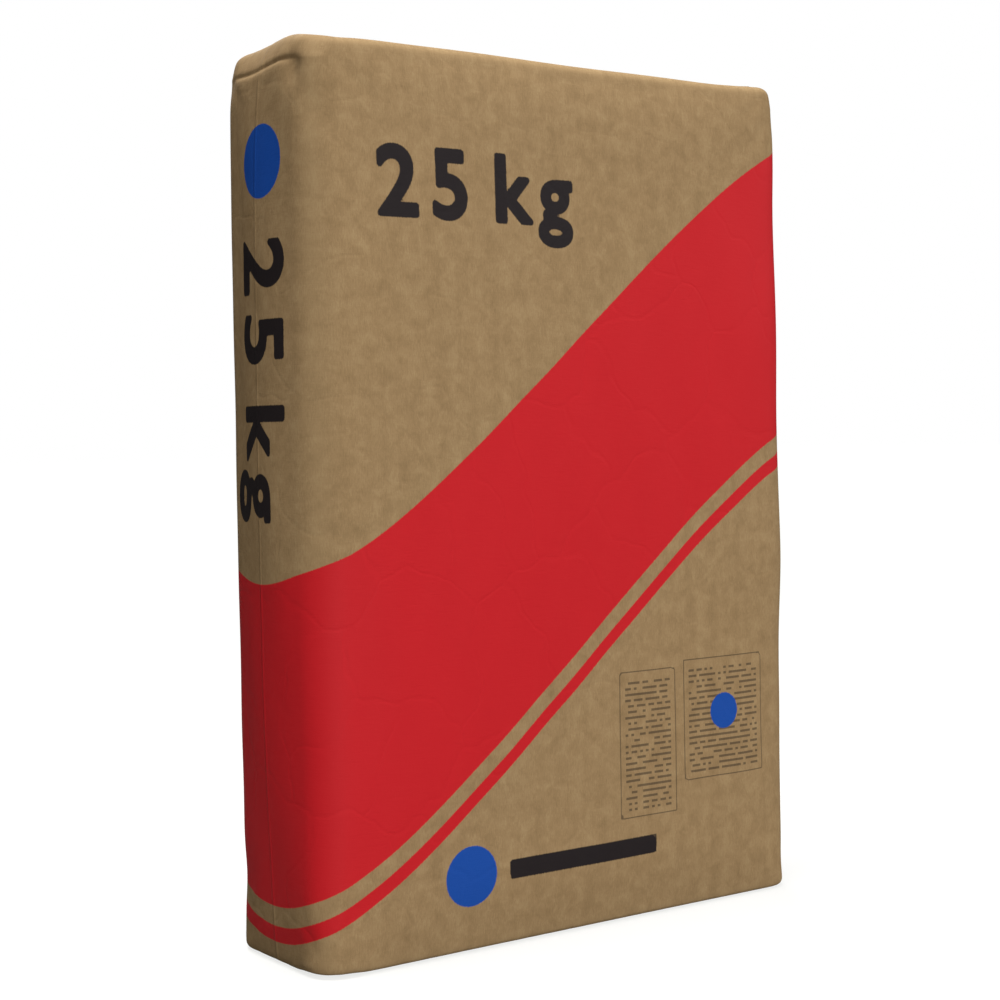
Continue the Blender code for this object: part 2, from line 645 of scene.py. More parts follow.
@dataclass(frozen=True)
class Finish:
    """A finish of a piece, named for the real one.

    Attributes:
        name: Name of its material.
    """

    name: str

    def paint(self, tree: Tree, shader: bpy.types.Node) -> None:
        """Lay the nodes that feed the shader, which each finish does in its own way."""
        raise NotImplementedError

    def coat(self, shader: bpy.types.Node, relief: Socket, unit: float, look: dict[str, object]) -> None:
        """Feed the shader a relief and the rest of its look.

        Args:
            shader: The material's Principled shader.
            relief: The height of the surface.
            unit: Length of one unit of that height.
            look: A value or an output for each further input, by its name.
        """
        bumps = {"Height": relief, "Strength": 1.0, "Distance": unit}
        feed(shader, look | {"Normal": add_node(shader.id_data, "ShaderNodeBump", bumps)})

    def build(self) -> bpy.types.Material:
        """Make the material.

        Returns:
            The material.
        """
        material = bpy.data.materials.new(self.name)
        material.use_nodes = True
        self.paint(material.node_tree, material.node_tree.nodes["Principled BSDF"])
        return material


@dataclass(frozen=True)
class SackKraft(Finish):
    """Unbleached sack kraft: brown paper, dead matt, with cloudy pulp and fibres along the tube.

    Attributes:
        paper: Colour of the bare paper.
        pale: Colour of pale fibres and of rubbed folds.
        dark: Colour of dark fibres and of thick places in the pulp.
        cloud: Width of a cloud in the pulp.
        fibre: Width and length of a bundle of fibres. Single fibres are finer, and would not show.
        streak: Width and length of a streak, along which the paper ran through its machine.
        crepe: Length and pitch of the fine ripples across the tube, which let sack paper stretch.
        crumple: Size of the fields between the faint creases that handling leaves.
        crumple_edge: Share of such a field over which its edge sinks.
        crumple_depth: Depth of the creases between them in millimetres.
        roughness: Roughness of the bare paper.
    """

    name: str = "unbleached_sack_kraft"
    paper: str = "#967B57"
    pale: str = "#A48A64"
    dark: str = "#876E4C"
    cloud: float = 9 * MM
    fibre: Pair = (0.6 * MM, 3.2 * MM)
    streak: Pair = (9 * MM, 160 * MM)
    crepe: Pair = (8 * MM, 1.3 * MM)
    crumple: float = 55 * MM
    crumple_edge: float = 0.05
    crumple_depth: float = 0.07
    roughness: float = 0.85

    def dress(self, tree: Tree) -> tuple[Socket, ...]:
        """Lay the paper's nodes.

        Args:
            tree: Node tree of the material.

        Returns:
            The outputs for the paper's colour, the fibres' tone, the surface's height in millimetres
            and the place on the flat paper.
        """
        place = add_node(tree, "ShaderNodeUVMap", output="UV", uv_map=SHEET_MAP)
        patterns = []
        for size, detail, bend in (
            ((self.cloud, self.cloud), 4.0, 0.3),
            (self.fibre, 3.0, 0.8),
            (self.streak, 2.0, 0.0),
            (self.crepe, 1.0, 0.5),
        ):
            spread = {"Vector": place, "Scale": (1 / size[0], 1 / size[1], 1.0)}
            run = add_node(tree, "ShaderNodeMapping", spread)
            look = {"Vector": run, "Scale": 1.0, "Detail": detail, "Roughness": 0.6, "Distortion": bend}
            patterns.append(add_node(tree, NOISE, look, "Fac", noise_dimensions="2D"))
        clouds, fibres, streaks, ripples = patterns
        tone: Socket | float = 0.0
        for pattern, share in ((clouds, 0.44), (fibres, 0.40), (streaks, 0.16)):
            tone = add_node(tree, MATH, {0: pattern, 1: share, 2: tone}, operation="MULTIPLY_ADD")
        shades = add_node(tree, "ShaderNodeValToRGB", {"Fac": tone}, "Color")
        ramp = shades.node.color_ramp
        ramp.elements[0].position, ramp.elements[1].position = 0.30, 0.70
        ramp.elements[0].color, ramp.elements[1].color = linear(self.dark), linear(self.pale)
        ramp.elements.new(0.50).color = linear(self.paper)
        warp = {"Vector": place, "Scale": 1 / self.crumple, "Detail": 2.0}
        warped = add_node(tree, NOISE, warp, "Color", noise_dimensions="2D")
        bent = {0: warped, 1: (0.05, 0.05, 0.0), 2: place}
        bent_place = add_node(tree, VECTOR_MATH, bent, operation="MULTIPLY_ADD")
        fields = {"voronoi_dimensions": "2D", "feature": "DISTANCE_TO_EDGE"}
        cell = {"Vector": bent_place, "Scale": 1 / self.crumple}
        edge = add_node(tree, "ShaderNodeTexVoronoi", cell, "Distance", **fields)
        valley = {"Value": edge, "From Max": self.crumple_edge, "To Min": -self.crumple_depth, "To Max": 0.0}
        height = add_node(tree, MAP_RANGE, valley, interpolation_type="SMOOTHSTEP")
        for pattern, rise in ((ripples, 0.05), (fibres, 0.03)):
            height = add_node(tree, MATH, {0: pattern, 1: rise, 2: height}, operation="MULTIPLY_ADD")
        return shades, fibres, height, place

    def steps(self, tree: Tree, place: Socket) -> Socket | float:
        """Find what shows through the paper from below, which here is nothing."""
        return 0.0

    def paint(self, tree: Tree, shader: bpy.types.Node) -> None:
        """Finish bare kraft paper.

        Args:
            tree: Node tree of the material.
            shader: Its shader.
        """
        colour, _, height, place = self.dress(tree)
        relief = add_node(tree, MATH, {0: height, 1: self.steps(tree, place)}, operation="ADD")
        look = {"Base Color": colour, "Roughness": self.roughness, "Specular IOR Level": MATT_SPECULAR}
        self.coat(shader, relief, MM, look)


@dataclass(frozen=True)
class EndSheetKraft(SackKraft):
    """Bare kraft pasted over an end: the edges of the four folded flaps show through as low steps.

    Attributes:
        tube: The tube whose flaps lie under it.
        overlap: How far each of the two long flaps reaches past the middle.
        step: Height of a step in millimetres.
        soften: How far a step's edge is softened on each side.
    """

    tube: TubeSection = TubeSection()
    overlap: float = 9 * MM
    step: float = 0.30
    soften: float = 0.7 * MM

    def steps(self, tree: Tree, place: Socket) -> Socket:
        """Raise the long flaps over the end's two folded corners, and once more where they overlap.

        Args:
            tree: Node tree of the material.
            place: The place on the sheet, across and along the end.

        Returns:
            The output for the height in millimetres.
        """
        away = add_node(tree, VECTOR_MATH, {0: place}, operation="ABSOLUTE")
        across = add_node(tree, "ShaderNodeSeparateXYZ", {0: away}, "X")
        past = {0: across, 1: across.node.outputs["Y"]}
        off_fold = add_node(tree, MATH, past, operation="SUBTRACT")
        fold = (self.tube.depth - self.tube.width) / 2
        flaps = ((off_fold, fold, self.step), (across, self.overlap, -self.step))
        steps = [(value, edge - self.soften, edge + self.soften, rise) for value, edge, rise in flaps]
        return add_steps(tree, 0.0, steps)


@dataclass(frozen=True)
class PrintedKraft(Finish):
    """Sack kraft with flexographic ink: thin, a little glossier than the paper, with fibres through it.

    Attributes:
        kraft: The bare paper.
        tube: The tube that is printed, for its folds and its seam.
        inks: Colour of each ink.
        show_through: Share of the paper's colour that shows through the ink.
        ink_edge: Width over which an ink's edge bleeds into the paper.
        rule: Width of a ruled line.
        dash: Length of a unit of the dashes in a ruled panel, and the distance between two rows.
        ink_roughness: Roughness of inked paper.
        lap: Width of the strip where the tube's edges are glued over each other.
        lap_edges: Over which width the strip's two edges rise and fall.
        lap_steps: How far they rise and fall in millimetres.
        fold_width: Half of the width of a flat fold.
        fold_height: Its height in millimetres.
        dash_share: Share of a row's height that its dashes fill.
        gap_share: Share of the units in a row that stay bare.
        margin: Distance of the dashes from the frame of their panel.
        dash_tone: How far the dashes and the frame cover the paper.
    """

    name: str = "flexo_printed_sack_kraft"
    kraft: SackKraft = SackKraft()
    tube: TubeSection = TubeSection()
    inks: tuple[tuple[Ink, str], ...] = (
        (Ink.RED, "#C11521"),
        (Ink.BLUE, "#08479E"),
        (Ink.BLACK, "#19151A"),
    )
    show_through: float = 0.02
    ink_edge: float = 0.35 * MM
    rule: float = 0.7 * MM
    dash: Pair = (2.2 * MM, 3.4 * MM)
    ink_roughness: float = 0.62
    lap: float = 34 * MM
    lap_edges: Pair = (3 * MM, 1.2 * MM)
    lap_steps: Pair = (0.35, -0.4)
    fold_width: float = 1.8 * MM
    fold_height: float = 0.22
    dash_share: float = 0.42
    gap_share: float = 0.28
    margin: float = 4 * MM
    dash_tone: float = 0.6

    def coverage(self, tree: Tree, name: str, bleed: Socket) -> Socket:
        """Turn an ink's distance into how far it covers the paper.

        Args:
            tree: Node tree of the material.
            name: Name of the attribute that holds the distance.
            bleed: A fine noise that frays the edge.

        Returns:
            The output that is 1 on the ink and 0 off it.
        """
        distance = add_node(tree, "ShaderNodeAttribute", output="Fac", attribute_name=name)
        fray = {0: bleed, 1: 2 * self.ink_edge, 2: distance}
        frayed = add_node(tree, MATH, fray, operation="MULTIPLY_ADD")
        fade = {"Value": frayed, "From Min": 2 * self.ink_edge, "From Max": 0.0}
        return add_node(tree, MAP_RANGE, fade, interpolation_type="SMOOTHSTEP")

    def ruled_panels(self, tree: Tree, place: Socket) -> Socket:
        """Lay the ruled panels: a thin frame, with rows of fine dashes inside.

        Args:
            tree: Node tree of the material.
            place: The place on the flat paper.

        Returns:
            The output that is 1 on the lines.
        """
        distance = add_node(tree, "ShaderNodeAttribute", output="Fac", attribute_name=PANEL)
        grid = {"Vector": place, "Scale": (1 / self.dash[0], 1 / self.dash[1], 1.0)}
        cells = add_node(tree, "ShaderNodeMapping", grid)
        cell = add_node(tree, VECTOR_MATH, {0: cells}, operation="FLOOR")
        chance = add_node(tree, "ShaderNodeTexWhiteNoise", {"Vector": cell}, "Value", noise_dimensions="2D")
        row = add_node(tree, "ShaderNodeSeparateXYZ", {0: cells}, "Y")
        in_row = add_node(tree, MATH, {0: row}, operation="FRACT")
        from_frame = add_node(tree, MATH, {0: distance}, operation="ABSOLUTE")
        tests = []
        for value, kind, limit in (
            (in_row, "LESS_THAN", self.dash_share),
            (chance, "GREATER_THAN", self.gap_share),
            (distance, "LESS_THAN", -self.margin),
            (from_frame, "LESS_THAN", self.rule / 2),
        ):
            tests.append(add_node(tree, MATH, {0: value, 1: limit}, operation=kind))
        found, drawn, inside, on_frame = tests
        for kind, value in (
            ("MULTIPLY", drawn),
            ("MULTIPLY", inside),
            ("MAXIMUM", on_frame),
            ("MULTIPLY", self.dash_tone),
        ):
            found = add_node(tree, MATH, {0: found, 1: value}, operation=kind)
        return found

    def folds(self, tree: Tree, place: Socket) -> Socket:
        """Raise the tube's flat folds along its sides and the step of its seam.

        Args:
            tree: Node tree of the material.
            place: The place on the flat paper.

        Returns:
            The output for the height in millimetres.
        """
        run = add_node(tree, "ShaderNodeSeparateXYZ", {0: place}, "X")
        round_run = add_node(tree, MATH, {0: run}, operation="ABSOLUTE")
        off_fold = add_node(tree, MATH, {0: round_run, 1: self.tube.side_s}, operation="SUBTRACT")
        beside = add_node(tree, MATH, {0: off_fold}, operation="ABSOLUTE")
        ridge = {"Value": beside, "From Max": self.fold_width, "To Min": self.fold_height, "To Max": 0.0}
        height = add_node(tree, MAP_RANGE, ridge, interpolation_type="SMOOTHSTEP")
        seam = self.tube.seam_s
        ends = (seam - self.lap, seam)
        steps = [(run, end - wide, end, up) for end, wide, up in zip(ends, self.lap_edges, self.lap_steps)]
        return add_steps(tree, height, steps)

    def paint(self, tree: Tree, shader: bpy.types.Node) -> None:
        """Finish the printed sack.

        Args:
            tree: Node tree of the material.
            shader: Its shader.
        """
        colour, fibres, height, place = self.kraft.dress(tree)
        worn = add_node(tree, "ShaderNodeAttribute", output="Fac", attribute_name=WEAR)
        rub = {"Factor": worn, "A": colour, "B": linear(self.kraft.pale)}
        bare = add_node(tree, MIX, rub, "Result", data_type="RGBA")
        covers = [(self.ruled_panels(tree, place), dict(self.inks)[Ink.BLACK])]
        covers += [(self.coverage(tree, ink.value, fibres), shade) for ink, shade in self.inks]
        colour, inked = bare, 0.0
        for cover, shade in covers:
            through = {"Factor": self.show_through, "A": linear(shade), "B": bare}
            tint = add_node(tree, MIX, through, "Result", data_type="RGBA")
            laid = {"Factor": cover, "A": colour, "B": tint}
            colour = add_node(tree, MIX, laid, "Result", data_type="RGBA")
            inked = add_node(tree, MATH, {0: cover, 1: inked}, operation="MAXIMUM")
        gloss = {"Value": inked, "To Min": self.kraft.roughness, "To Max": self.ink_roughness}
        rough = add_node(tree, MAP_RANGE, gloss)
        relief = add_node(tree, MATH, {0: height, 1: self.folds(tree, place)}, operation="ADD")
        look = {"Base Color": colour, "Roughness": rough, "Specular IOR Level": MATT_SPECULAR}
        self.coat(shader, relief, MM, look)


@dataclass(frozen=True)
class CementPowder(Finish):
    """Packed grey cement: a dead matt, very fine powder with faint lumps.

    Attributes:
        pale: Colour of the lumps.
        dark: Colour between them.
        lump: Size of a lump.
        relief: How far the lumps stand out.
        roughness: Roughness of the powder.
    """

    name: str = "packed_cement_powder"
    pale: str = "#A3A39F"
    dark: str = "#8C8C88"
    lump: float = 6 * MM
    relief: float = 0.2 * MM
    roughness: float = 0.95

    def paint(self, tree: Tree, shader: bpy.types.Node) -> None:
        """Finish the powder.

        Args:
            tree: Node tree of the material.
            shader: Its shader.
        """
        place = add_node(tree, "ShaderNodeTexCoord", output="Object")
        look = {"Vector": place, "Scale": 1 / self.lump, "Detail": 6.0, "Roughness": 0.6}
        lumps = add_node(tree, NOISE, look, "Fac")
        mixed = {"Factor": lumps, "A": linear(self.dark), "B": linear(self.pale)}
        colour = add_node(tree, MIX, mixed, "Result", data_type="RGBA")
        self.coat(shader, lumps, self.relief, {"Base Color": colour, "Roughness": self.roughness})


@dataclass(frozen=True)
class StudioWhite(Finish):
    """White studio floor with soft shadows, which the camera sees evenly lit.

    It throws little light back at the bag, as a dark floor under a cut-out picture does.

    Attributes:
        seen: Colour that the camera sees.
        glow: How brightly it is seen where no light is needed.
        shadow_share: How much of it depends on the light that falls there, round the bag.
        fade: Between which distances from the bag that share runs out.
        thrown: Colour with which the floor lights the bag.
    """

    name: str = "studio_white"
    seen: str = "#F7F7F5"
    glow: float = 1.10
    shadow_share: float = 0.26
    fade: Pair = (0.4, 2.0)
    thrown: str = "#777672"

    def paint(self, tree: Tree, shader: bpy.types.Node) -> None:
        """Finish the floor, which takes other shaders than the one that is there.

        Args:
            tree: Node tree of the material.
            shader: Its shader.
        """
        place = add_node(tree, "ShaderNodeTexCoord", output="Object")
        away = add_node(tree, VECTOR_MATH, {0: place}, "Value", operation="LENGTH")
        near, far = self.fade
        fade = {"Value": away, "From Min": near, "From Max": far, "To Min": self.shadow_share, "To Max": 0.0}
        share = add_node(tree, MAP_RANGE, fade, interpolation_type="SMOOTHSTEP")
        white = linear(self.seen)
        lit = add_node(tree, "ShaderNodeBsdfDiffuse", {"Color": white})
        glow = add_node(tree, "ShaderNodeEmission", {"Color": white, "Strength": self.glow})
        even = add_node(tree, "ShaderNodeMixShader", {0: share, 1: glow, 2: lit})
        dull = add_node(tree, "ShaderNodeBsdfDiffuse", {"Color": linear(self.thrown)})
        ray = add_node(tree, "ShaderNodeLightPath", output="Is Camera Ray")
        both = add_node(tree, "ShaderNodeMixShader", {0: ray, 1: dull, 2: even})
        feed(tree.nodes["Material Output"], {"Surface": both})
        tree.nodes.remove(shader)


# Marks that filling and handling leave in the paper


@dataclass(frozen=True)
class Dent:
    """A soft round dent.

    Attributes:
        centre: Its middle on the paper.
        size: Its reach along s and along h.
        depth: How deep it is. A negative depth stands out.
    """

    centre: Pair
    size: Pair
    depth: float

    def push(self, s: np.ndarray, h: np.ndarray) -> np.ndarray:
        """How far the paper stands out at places round the bag and heights, because of the dent."""
        return -self.depth * bell((s - self.centre[0]) / self.size[0], (h - self.centre[1]) / self.size[1])


@dataclass(frozen=True)
class Crease:
    """A straight crease that fades out towards its ends.

    Attributes:
        start: One end on the paper.
        end: The other end.
        width: Half of its width.
        depth: How deep it is. A negative depth is a ridge.
    """

    start: Pair
    end: Pair
    width: float
    depth: float

    def push(self, s: np.ndarray, h: np.ndarray) -> np.ndarray:
        """How far the paper stands out because of the crease.

        Args:
            s: Places round the bag.
            h: Heights.

        Returns:
            Distances outwards.
        """
        run_s, run_h = self.end[0] - self.start[0], self.end[1] - self.start[1]
        long = math.hypot(run_s, run_h)
        along = ((s - self.start[0]) * run_s + (h - self.start[1]) * run_h) / long**2
        off = ((s - self.start[0]) * run_h - (h - self.start[1]) * run_s) / long
        fade = np.clip(4 * along * (1 - along), 0, 1)
        return -self.depth * fade * np.exp(-np.abs(off / self.width) ** 1.5)


# The pieces


@dataclass
class PaperSack:
    """The kraft sack: a tube of paper with folded ends, pushed out by its filling.

    Attributes:
        tube: Section of the tube at its ends.
        printed: The print.
        roll: Radius with which the walls turn into the ends.
        middle_radius: Radius of the upright corners halfway up.
        face_swell: How far the filling pushes out the front and the back.
        side_swell: How far it pushes out the side panels.
        mesh_step: Spacing of the mesh before its last subdivision.
        corner_facets: Facets of an upright corner before that.
        roll_facets: Facets of the turn into an end before that.
        taper: How far the side panels lean in towards the top, and over which height.
        crease_below: How far the crease that borders the top lies below its level.
        valve_middle: Where the middle of the filling valve lies, towards the back.
        valve_reach: How far from there it changes the left end.
        sag: How much lower the crease hangs there.
        hollow: How much further the paper slopes in above it.
        shoulders: How far the paper slopes in above the crease, at the left and at the right end.
        crown: How far the top stands above its level in the frame.
        ears: How much further it stands up towards its left and its right end.
        ear_reach: Where that rise starts and ends, from the middle of the bag.
        arch: How far the rim of the left end is arched above that.
        dip: How far the front rim dips beside the left end.
        sleeve_below: How far the valve sleeve lies below the top, away from its mouth.
        tuck: How far the folded corner at the front left stands off the floor.
        pressure: Pressure of the filling in the cloth simulation.
        frames: Number of its frames.
        give: How far the paper may move in it.
        first_swell: Share of the swelling that is made before it.
        seed: Start of the random order of the fine creases.
        traces: How many of them are traces of handling, anywhere on the walls.
        mouth_width: Width of the valve's mouth.
        mouth_depth: How deep the mouth's fold is.
    """

    tube: TubeSection = TubeSection()
    roll: float = 5 * MM
    middle_radius: float = 26 * MM
    face_swell: float = 6.0 * MM
    side_swell: float = 5.5 * MM
    mesh_step: float = 5.3 * MM
    corner_facets: int = 6
    roll_facets: int = 4
    taper: Pair = (1.9 * MM, 60 * MM)
    crease_below: float = 12 * MM
    valve_middle: float = 8 * MM
    valve_reach: float = 28 * MM
    sag: float = 4.4 * MM
    hollow: float = 4.2 * MM
    shoulders: Pair = (4.4 * MM, 2.8 * MM)
    crown: float = 0.4 * MM
    ears: Pair = (2.4 * MM, 1.4 * MM)
    ear_reach: Pair = (105 * MM, 160 * MM)
    arch: float = 3.1 * MM
    dip: float = 1.4 * MM
    sleeve_below: float = 2.3 * MM
    tuck: float = 1.1 * MM
    pressure: float = 1.0
    frames: int = 10
    give: float = 5 * MM
    first_swell: float = 0.5
    seed: int = 25
    traces: int = 26
    mouth_width: float = 72 * MM
    mouth_depth: float = 2.4 * MM

    def __post_init__(self) -> None:
        """Read the sack's place from the frame, and lay out its print."""
        low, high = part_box("paper_sack")
        self.bottom, self.top = low[2], high[2]
        self.tall = self.top - self.bottom
        self.printed = SackPrint(self.tube)

    def block(self) -> bpy.types.Object:
        """Model the tube as an even block: round upright corners, rolled ends and a grid of faces.

        Returns:
            The sack's object.
        """
        middle = (self.bottom + self.top) / 2
        size = (self.tube.width, self.tube.depth, self.tall)
        sack = start_piece("sack", bpy.ops.mesh.primitive_cube_add, (0, 0, middle), size)
        edit(sack)
        select(sack, "EDGE", lambda edge: span(edge, 2) > self.tall / 2)
        bpy.ops.mesh.bevel(offset=self.tube.radius, segments=self.corner_facets, affect="EDGES")
        for low, high, squareness in ((self.bottom - MM, middle, 0.66), (middle, self.top + MM, 0.5)):
            select(sack, "EDGE", lambda edge: span(edge, 2) < MM and low < edge.verts[0].co.z < high)
            options = {"segments": self.roll_facets, "profile": squareness, "affect": "EDGES"}
            bpy.ops.mesh.bevel(offset=self.roll, **options)
        for axis, run in enumerate((self.tube.run_x, self.tube.run_y)):
            cuts = round(2 * run / self.mesh_step)
            for number in range(cuts + 1):
                cut(axis, run * (2 * number / cuts - 1))
        for offset in (-2.4 * MM, -1.1 * MM, 0.0, 1.1 * MM, 2.4 * MM):
            cut(2, self.top - self.crease_below + offset)
        select(sack, "EDGE", lambda edge: span(edge, 2) > self.tall / 2)
        bpy.ops.mesh.subdivide(number_cuts=round(self.tall / self.mesh_step) - 1)
        bpy.ops.object.mode_set(mode="OBJECT")
        settle_order(sack.data)
        return sack

    def lay_out(self, sack: bpy.types.Object) -> np.ndarray:
        """Give the block its map on the flat paper, before the filling changes its shape.

        Args:
            sack: The block.

        Returns:
            The place of each point on the paper, as rows of s and h.
        """
        mesh = sack.data
        places = read_points(mesh)
        s = self.tube.round_the_bag(places[:, 0], places[:, 1])
        h = places[:, 2] - self.bottom
        corners = corner_points(mesh)
        flat = np.stack([s[corners], h[corners]], axis=1)
        for face in mesh.polygons:
            loops = slice(face.loop_start, face.loop_start + face.loop_total)
            if abs(face.normal.z) > 0.98:
                flat[loops] = self.end_flap(places[corners[loops]], face.center)
                continue
            round_s = flat[loops, 0]
            if round_s.max() - round_s.min() > self.tube.seam_s:
                flat[loops, 0] = np.where(round_s < 0, round_s + 2 * self.tube.seam_s, round_s)
        lay_map(mesh, flat)
        return np.stack([s, h], axis=1)

    def end_flap(self, places: np.ndarray, centre: Vector) -> np.ndarray:
        """Map a face of an end, which is one of the four flaps that are folded over it.

        Args:
            places: The face's points.
            centre: The face's middle.

        Returns:
            Their places on the paper.
        """
        up = centre.z > (self.bottom + self.top) / 2
        from_side = self.tube.width / 2 - abs(centre.x)
        from_face = self.tube.depth / 2 - abs(centre.y)
        if from_face <= from_side:
            inwards = self.tube.depth / 2 - np.abs(places[:, 1])
            front = centre.y < 0
            s = places[:, 0] if front else self.tube.seam_s - places[:, 0]
        else:
            inwards = self.tube.width / 2 - np.abs(places[:, 0])
            s = math.copysign(1, centre.x) * (self.tube.side_s + places[:, 1])
        h = self.tall + inwards if up else -inwards
        return np.stack([s, h], axis=1)

    def fill_out(self, places: np.ndarray, swell: float) -> np.ndarray:
        """Push the block out as the filling does: rounder corners and crowned faces halfway up.

        Args:
            places: The block's points.
            swell: Share of the swelling that is made here.

        Returns:
            The moved points.
        """
        tube = self.tube
        share = np.clip((places[:, 2] - self.bottom) / self.tall, 0, 1)
        full = np.sin(np.pi * share) * swell
        radius = tube.radius + (self.middle_radius - tube.radius) * full
        sign = np.sign(places[:, :2])
        past = np.abs(places[:, :2]) - [tube.run_x, tube.run_y]
        centre = np.stack([tube.width / 2 - radius, tube.depth / 2 - radius], axis=1)
        in_corner = (past > 0).all(axis=1)
        reach = np.hypot(past[:, 0], past[:, 1])
        grown = (reach + radius - tube.radius) / np.maximum(reach, 1e-9)
        corner = centre + past * grown[:, None]
        moved = places.copy()
        along_x = np.clip(places[:, 0] / tube.run_x, -1, 1)
        along_y = np.clip(places[:, 1] / tube.run_y, -1, 1)
        on_face = (past[:, 0] <= 0) & (past[:, 1] > 0)
        on_side = (past[:, 1] <= 0) & (past[:, 0] > 0)
        face_out = self.face_swell * full * (1 - along_x**2)
        side_out = self.side_swell * full * (1 - along_y**2)
        moved[:, 0] = np.where(on_face, along_x * centre[:, 0], moved[:, 0])
        moved[:, 1] = np.where(on_face, moved[:, 1] + sign[:, 1] * face_out, moved[:, 1])
        moved[:, 0] = np.where(on_side, moved[:, 0] + sign[:, 0] * side_out, moved[:, 0])
        moved[:, 1] = np.where(on_side, along_y * centre[:, 1], moved[:, 1])
        moved[:, :2] = np.where(in_corner[:, None], sign * corner, moved[:, :2])
        return moved

    def press_out(self, sack: bpy.types.Object) -> None:
        """Let the filling press the paper out, by a short cloth simulation without gravity.

        Args:
            sack: The filled block.
        """
        before = read_points(sack.data)
        cloth = sack.modifiers.new("paper", "CLOTH")
        paper = cloth.settings
        paper.quality = 5
        paper.mass = 0.15
        paper.tension_stiffness = paper.compression_stiffness = 45.0
        paper.shear_stiffness = 25.0
        paper.bending_stiffness = 12.0
        paper.use_pressure = True
        paper.uniform_pressure_force = self.pressure
        paper.effector_weights.gravity = 0.0
        cloth.collision_settings.use_collision = False
        scene = bpy.context.scene
        for number in range(1, self.frames + 1):
            scene.frame_set(number)
        pressed = sack.evaluated_get(bpy.context.evaluated_depsgraph_get())
        move = read_points(pressed.data) - before
        sack.modifiers.remove(cloth)
        scene.frame_set(1)
        far = np.linalg.norm(move, axis=1)
        LOG.info("pressed out: mean %.2f mm, most %.2f mm", far.mean() / MM, far.max() / MM)
        move *= (np.minimum(far, self.give) / np.maximum(far, 1e-9))[:, None]
        write_points(sack.data, before + move)

    def marks(self) -> list[Dent | Crease]:
        """List the dents and creases of the paper.

        Returns:
            The marks.
        """
        corner, side, tall = self.tube.corner_s, self.tube.side_s, self.tall
        back_corner = 2 * side - corner
        back = -back_corner
        return [
            Dent((-corner - 12.5 * MM, tall - 16 * MM), (5.5 * MM, 7 * MM), 4.0 * MM),
            Dent((corner + 8 * MM, tall - 15 * MM), (6 * MM, 8 * MM), 2.0 * MM),
            Dent((back + 9 * MM, tall - 14 * MM), (6 * MM, 7 * MM), 2.2 * MM),
            Dent((back_corner - 8 * MM, tall - 15 * MM), (7 * MM, 7 * MM), 2.4 * MM),
            Dent((-corner - 8 * MM, 14 * MM), (6 * MM, 8 * MM), 1.2 * MM),
            Dent((corner + 8 * MM, 16 * MM), (6 * MM, 8 * MM), 1.6 * MM),
            Dent((back, 84 * MM), (30 * MM, 34 * MM), 0.5 * MM),
            Dent((back, 42 * MM), (20 * MM, 16 * MM), 1.4 * MM),
            Dent((back, 230 * MM), (44 * MM, 170 * MM), -1.7 * MM),
            Dent((side, 330 * MM), (30 * MM, 60 * MM), 1.0 * MM),
            Dent((corner + 4 * MM, 235 * MM), (46 * MM, 130 * MM), -2.9 * MM),
            Dent((corner + 4 * MM, 352 * MM), (42 * MM, 40 * MM), -1.3 * MM),
            Dent((corner + 4 * MM, 208 * MM), (42 * MM, 34 * MM), -1.5 * MM),
            Dent((corner + 4 * MM, 462 * MM), (40 * MM, 28 * MM), -0.8 * MM),
            Crease((back + 13 * MM, 0.0), (back + 13 * MM, tall), 3 * MM, -0.9 * MM),
            Crease((-corner - 15 * MM, tall - 17 * MM), (16 * MM - corner, tall - 56 * MM), 5 * MM, 0.9 * MM),
            Crease((corner, tall - 20 * MM), (corner - 70 * MM, tall - 60 * MM), 4 * MM, 0.6 * MM),
            Crease((corner, 20 * MM), (corner - 52 * MM, 66 * MM), 4 * MM, 0.5 * MM),
            Crease((-corner, 18 * MM), (-corner + 44 * MM, 52 * MM), 4 * MM, 0.4 * MM),
            Crease((back, tall - 24 * MM), (back - 60 * MM, tall - 70 * MM), 4 * MM, 0.6 * MM),
            Crease((back_corner, tall - 24 * MM), (back_corner + 56 * MM, tall - 80 * MM), 4 * MM, 0.6 * MM),
            Crease((back_corner, 20 * MM), (back_corner + 50 * MM, 60 * MM), 4 * MM, 0.5 * MM),
        ]

    def slack(self, s: np.ndarray, h: np.ndarray) -> np.ndarray:
        """Long, shallow waves of paper that the filling doesn't pull quite flat.

        Args:
            s: Places round the bag.
            h: Heights.

        Returns:
            Distances outwards.
        """
        turn = np.pi * s / self.tube.seam_s
        waves = sum(
            share * np.sin(h / length + turns * turn + phase)
            for share, length, turns, phase in (
                (0.45, 90 * MM, 14, 0.0),
                (0.35, 44 * MM, -6, 1.1),
                (0.30, 23 * MM, 16, 2.3),
                (0.16, 11 * MM, -28, 0.4),
            )
        )
        return waves * 0.45 * MM

